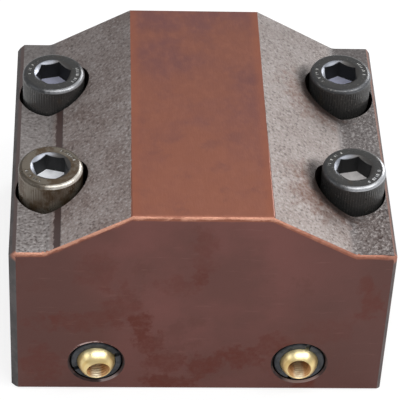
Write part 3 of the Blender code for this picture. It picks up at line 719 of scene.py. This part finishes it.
def screw_piece(place, finish, rim):
    """Socket head cap screw with a knurled head, a rounded rim, plain ticks and a cut thread."""
    node = "cap_screw_" + place
    low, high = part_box(node)
    axis = Vector(((low.x + high.x) / 2, (low.y + high.y) / 2, 0.0))
    turn, mark_turn = math.radians(SCREW_TURNS[place]), math.radians(MARK_TURNS[place])
    count = TEETH * TEETH_STEPS
    columns = []
    for step in range(count):
        angle = math.tau * step / count
        sink = MARK_DEPTH if marked(step, angle + turn - mark_turn) else 0.0
        c, s = math.cos(angle + turn), math.sin(angle + turn)
        columns.append([axis + Vector((r * c, r * s, height)) for r, height in head_rows(step, angle, sink)])
    bm = lofted(columns)
    for face in bm.faces:
        face.material_index = head_part(face.calc_center_median() - axis, face.normal)
    add_thread(bm, axis, SHANK_RADIUS, SCREW_LENGTH - 0.0004, SCREW_PITCH, THREAD_DEPTH)
    finishes = [finish, SOCKET_FLOOR, SOCKET_LIP, TICK_WEAR_AND_GLINT, SOCKET_WALL, rim]
    add_piece("socket_screw_" + place, bm, finishes, "holder", node)


def add_thread(bm, axis, radius, length, pitch, depth, steps=24):
    """A cut thread from the tip up: one crest and one root each turn, run out at the tip."""
    levels = int(length / pitch) * 4
    rows = []
    for step in range(steps + 1):
        angle = math.tau * step / steps
        row = []
        for level in range(levels + 1):
            height = (level / 4 + (step / steps if 0 < level < levels else 0.0)) * pitch
            height = min(max(height, 0.0), length)
            r = radius - (0.0 if level % 4 in (0, 1) else depth)
            r = min(r, radius - 0.001 + 0.001 * min(1.0, height / 0.0012))
            row.append(bm.verts.new(axis + Vector((r * math.cos(angle), r * math.sin(angle), height))))
        rows.append(row)
    tip = bm.verts.new(axis)
    for first, second in zip(rows, rows[1:]):
        bm.faces.new((tip, second[0], first[0]))
        for low in range(levels):
            bm.faces.new((first[low], second[low], second[low + 1], first[low + 1]))


def ball_piece(hand):
    """Brass ball with a threaded bore, on the axis of the CAD ball."""
    side, pan, tilt = BALL_AIMS[hand]
    centre = Vector((side * NOZZLE_X, FRONT + BALL_DEPTH, NOZZLE_Z))
    aim = Matrix.Rotation(math.radians(pan), 3, "Z") @ Matrix.Rotation(math.radians(90.0 + tilt), 3, "X")
    first = math.asin(BALL_MOUTH / BALL_RADIUS)
    face = BALL_RADIUS * math.cos(first)
    root = BALL_MOUTH - BORE_LIP
    reach = face - BORE_LIP
    around, along_arc = 96, 48
    levels = int(2 * reach / BORE_PITCH) * 6
    columns = []
    for step in range(around):
        angle = math.tau * step / around
        rows = []
        for part in range(along_arc + 1):
            polar = first + (math.pi - 2 * first) * part / along_arc
            rows.append((BALL_RADIUS * math.sin(polar), BALL_RADIUS * math.cos(polar)))
        # The thread starts flush at both mouths
        for level in range(levels + 1):
            height = -reach + 2 * reach * level / levels
            wave = 0.5 + 0.5 * math.cos(math.tau * height / BORE_PITCH - angle)
            fade = min(1.0, level / 4, (levels - level) / 4)
            rows.append((root - BORE_THREAD * wave * fade, height))
        rows.append(rows[0])
        c, s = math.cos(angle), math.sin(angle)
        columns.append([centre + aim @ Vector((r * c, r * s, height)) for r, height in rows])
    bm = lofted(columns)
    for face in bm.faces:
        off = face.calc_center_median() - centre
        along = off.dot(aim @ Vector((0.0, 0.0, 1.0)))
        out = math.sqrt(max(0.0, off.length_squared - along * along))
        face.material_index = 1 if out < root + 0.00002 else 0
    add_piece("brass_ball_" + hand, bm, [BRASS, BRASS_BORE], "ball_" + hand, "nozzle_ball_" + hand)


def seal_piece(node):
    """A round O-ring where the CAD one lies."""
    low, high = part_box(node)
    centre = (low + high) / 2
    lies_flat = node == "inlet_seal"
    section = (high.z - low.z) / 2 if lies_flat else (high.y - low.y) / 2
    middle = (high.x - low.x) / 2 - section
    turn = Matrix.Identity(3) if lies_flat else Matrix.Rotation(math.pi / 2, 3, "X")
    around, across = 64, 16
    columns = []
    for step in range(around):
        angle = math.tau * step / around
        column = []
        for part in range(across + 1):
            bend = math.tau * part / across
            r = middle + section * math.cos(bend)
            point = Vector((r * math.cos(angle), r * math.sin(angle), section * math.sin(bend)))
            column.append(centre + turn @ point)
        columns.append(column)
    add_piece(node + "_rubber", lofted(columns), [RUBBER], "holder", node)


def dressed_copy(name, node, finish, width):
    """The node's own mesh in one finish, with its edges rounded."""
    bm = node_copy(node)
    round_edges(bm, sharp_edges(bm), width, 2)
    add_piece(name, bm, [finish], "holder", node)


SOCKET_FLOOR = socket_floor_finish()
SOCKET_LIP = socket_lip_finish()
# Painted shade: the socket walls are near black, darker than the head's own oxide
SOCKET_WALL = plain_finish("socket_wall_painted_shade", srgb(12, 12, 14), srgb(8, 8, 9), 0.0, 0.60, 700.0)
# Ticks: worn, with a painted glint that makes them light
TICK_WEAR_AND_GLINT = plain_finish("worn_tick_and_glint", srgb(214, 212, 207), srgb(96, 94, 92), 0.6, 0.32, 1500.0)
BLACK = screw_finish("black_oxide", srgb(73, 72, 71), srgb(80, 73, 66), 0.05)
# Rim finishes: worn bright on the near right, with a painted highlight there
BLACK_RIM_HIGHLIT = screw_finish("black_rim_painted_highlight", srgb(68, 68, 69), srgb(74, 69, 64), 0.05, srgb(156, 157, 160))
BRONZE = screw_finish("brown_oxide", srgb(122, 113, 101), srgb(90, 73, 55), 0.20)
BRONZE_RIM_HIGHLIT = screw_finish(
    "brown_rim_painted_highlight", srgb(84, 76, 66), srgb(104, 84, 64), 0.16, srgb(214, 208, 198))
BRASS = brass_finish()
BRASS_BORE = bore_thread_finish()
RING = plain_finish("blackened_ring", srgb(70, 72, 76), srgb(44, 46, 49), 0.5, 0.36, 500.0)
RUBBER = plain_finish("nitrile_rubber", srgb(38, 38, 40), srgb(26, 26, 27), 0.0, 0.55, 900.0)

holder_block()
for place in SCREW_TURNS:
    bronze = place == "front_left"
    screw_piece(place, BRONZE if bronze else BLACK, BRONZE_RIM_HIGHLIT if bronze else BLACK_RIM_HIGHLIT)
for hand in BALL_AIMS:
    ball_piece(hand)
    dressed_copy("lock_ring_" + hand, "nozzle_ring_" + hand, RING, RING_EDGE)
    seal_piece("nozzle_seal_" + hand)
seal_piece("inlet_seal")
dressed_copy("threaded_plug", "gallery_plug", plug_finish(), PLUG_EDGE)


# Floor, light and camera


def floor_material(name):
    """A floor material, clear so far, with its nodes and links, its light path, a mask that is 1 from above
    and 0 from below, and the mixer between clear and a shader still to come."""
    material = bpy.data.materials.new(name)
    material.use_nodes = True
    nodes, links = material.node_tree.nodes, material.node_tree.links
    nodes.clear()
    clear = nodes.new("ShaderNodeBsdfTransparent")
    either = nodes.new("ShaderNodeMixShader")
    output = nodes.new("ShaderNodeOutputMaterial")
    links.new(clear.outputs[0], either.inputs[1])
    links.new(either.outputs[0], output.inputs["Surface"])
    above = nodes.new("ShaderNodeMath")
    above.operation = "SUBTRACT"
    above.inputs[0].default_value = 1.0
    links.new(nodes.new("ShaderNodeNewGeometry").outputs["Backfacing"], above.inputs[1])
    return material, nodes, links, nodes.new("ShaderNodeLightPath"), above, either


def grey_diffuse(nodes, value):
    shader = nodes.new("ShaderNodeBsdfDiffuse")
    shader.inputs["Color"].default_value = (value, value, value, 1.0)
    return shader


def open_floor():
    """Pale floor that the camera sees near white, with the shadows kept."""
    material, nodes, links, path, above, either = floor_material("studio_floor")
    glow = nodes.new("ShaderNodeEmission")
    glow.inputs["Strength"].default_value = FLOOR_GLOW
    both = nodes.new("ShaderNodeAddShader")
    links.new(grey_diffuse(nodes, FLOOR_SEEN).outputs[0], both.inputs[0])
    links.new(glow.outputs[0], both.inputs[1])
    mixer = nodes.new("ShaderNodeMixShader")
    links.new(path.outputs["Is Camera Ray"], mixer.inputs[0])
    links.new(grey_diffuse(nodes, FLOOR_LIT).outputs[0], mixer.inputs[1])
    links.new(both.outputs[0], mixer.inputs[2])
    links.new(above.outputs[0], either.inputs[0])
    links.new(mixer.outputs[0], either.inputs[2])
    return material


def covered_floor():
    """Floor under the block: painted dark as shade where the camera sees it down a bolt hole, and clear to
    other rays.
    """
    material, nodes, links, path, above, either = floor_material("covered_floor")
    seen = nodes.new("ShaderNodeMath")
    seen.operation = "MULTIPLY"
    links.new(path.outputs["Is Camera Ray"], seen.inputs[0])
    links.new(above.outputs[0], seen.inputs[1])
    links.new(seen.outputs[0], either.inputs[0])
    links.new(grey_diffuse(nodes, FLOOR_SHADE_GREY).outputs[0], either.inputs[2])
    return material


def floor():
    """Just below the base, in nine faces of which the middle one lies under the block."""
    low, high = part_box("holder_body")
    columns = (-FLOOR_REACH, low.x + FLOOR_INSET, high.x - FLOOR_INSET, FLOOR_REACH)
    rows = (-FLOOR_REACH, low.y + FLOOR_INSET, high.y - FLOOR_INSET, FLOOR_REACH)
    corners = [(x, y, FLOOR_LEVEL) for y in rows for x in columns]
    faces = [(4 * r + c, 4 * r + c + 1, 4 * r + c + 5, 4 * r + c + 4) for r in range(3) for c in range(3)]
    mesh = bpy.data.meshes.new("floor")
    mesh.from_pydata(corners, [], faces)
    mesh.materials.append(open_floor())
    mesh.materials.append(covered_floor())
    mesh.polygons[4].material_index = 1
    piece = bpy.data.objects.new("floor", mesh)
    bpy.context.scene.collection.objects.link(piece)


def area_light(name, place, size, watts, colour=(1.0, 1.0, 1.0)):
    """A soft box that points at the middle of the block."""
    data = bpy.data.lights.new(name, "AREA")
    data.shape = "RECTANGLE"
    data.size, data.size_y = size
    data.energy = watts
    data.color = colour
    light = bpy.data.objects.new(name, data)
    light.location = place
    light.rotation_euler = (LIGHT_TARGET - Vector(place)).to_track_quat("-Z", "Y").to_euler()
    bpy.context.scene.collection.objects.link(light)


def world():
    """A grey room that lights the block and that the camera sees as white."""
    background = bpy.data.worlds.new("studio")
    bpy.context.scene.world = background
    background.use_nodes = True
    nodes, links = background.node_tree.nodes, background.node_tree.links
    shade = nodes["Background"]
    shade.inputs["Color"].default_value = ROOM_GREY
    white = nodes.new("ShaderNodeBackground")
    white.inputs["Color"].default_value = WHITE
    path = nodes.new("ShaderNodeLightPath")
    mixer = nodes.new("ShaderNodeMixShader")
    links.new(path.outputs["Is Camera Ray"], mixer.inputs[0])
    links.new(shade.outputs[0], mixer.inputs[1])
    links.new(white.outputs[0], mixer.inputs[2])
    links.new(mixer.outputs[0], nodes["World Output"].inputs["Surface"])


def camera():
    """The photograph's camera, which looks down and to the right, and stands a little askew."""
    data = bpy.data.cameras.new("camera")
    data.lens = LENS
    data.sensor_width = SENSOR_WIDTH
    ahead = Vector((math.sin(YAW) * math.cos(PITCH), math.cos(YAW) * math.cos(PITCH), -math.sin(PITCH)))
    right = Vector((math.cos(YAW), -math.sin(YAW), 0.0))
    up = right.cross(ahead)
    right, up = (math.cos(ROLL) * right + math.sin(ROLL) * up, math.cos(ROLL) * up - math.sin(ROLL) * right)
    piece = bpy.data.objects.new("camera", data)
    turned = Matrix((right, up, -ahead)).transposed().to_4x4()
    piece.matrix_world = Matrix.Translation(CAMERA_PLACE) @ turned
    bpy.context.scene.collection.objects.link(piece)
    bpy.context.scene.camera = piece


floor()
world()
area_light("above_front", (0.0, -0.38, 0.92), (0.8, 0.45), 4.0)
area_light("right_key", (0.62, -0.20, 0.75), (0.5, 0.5), 3.0)
area_light("back_right", (0.66, 0.76, 0.40), (0.5, 0.4), 4.5)
area_light("left_fill", (-0.9, -0.2, 0.5), (0.5, 0.5), 1.2, (0.90, 0.95, 1.0))
camera()
bpy.context.scene.view_settings.view_transform = "Standard"
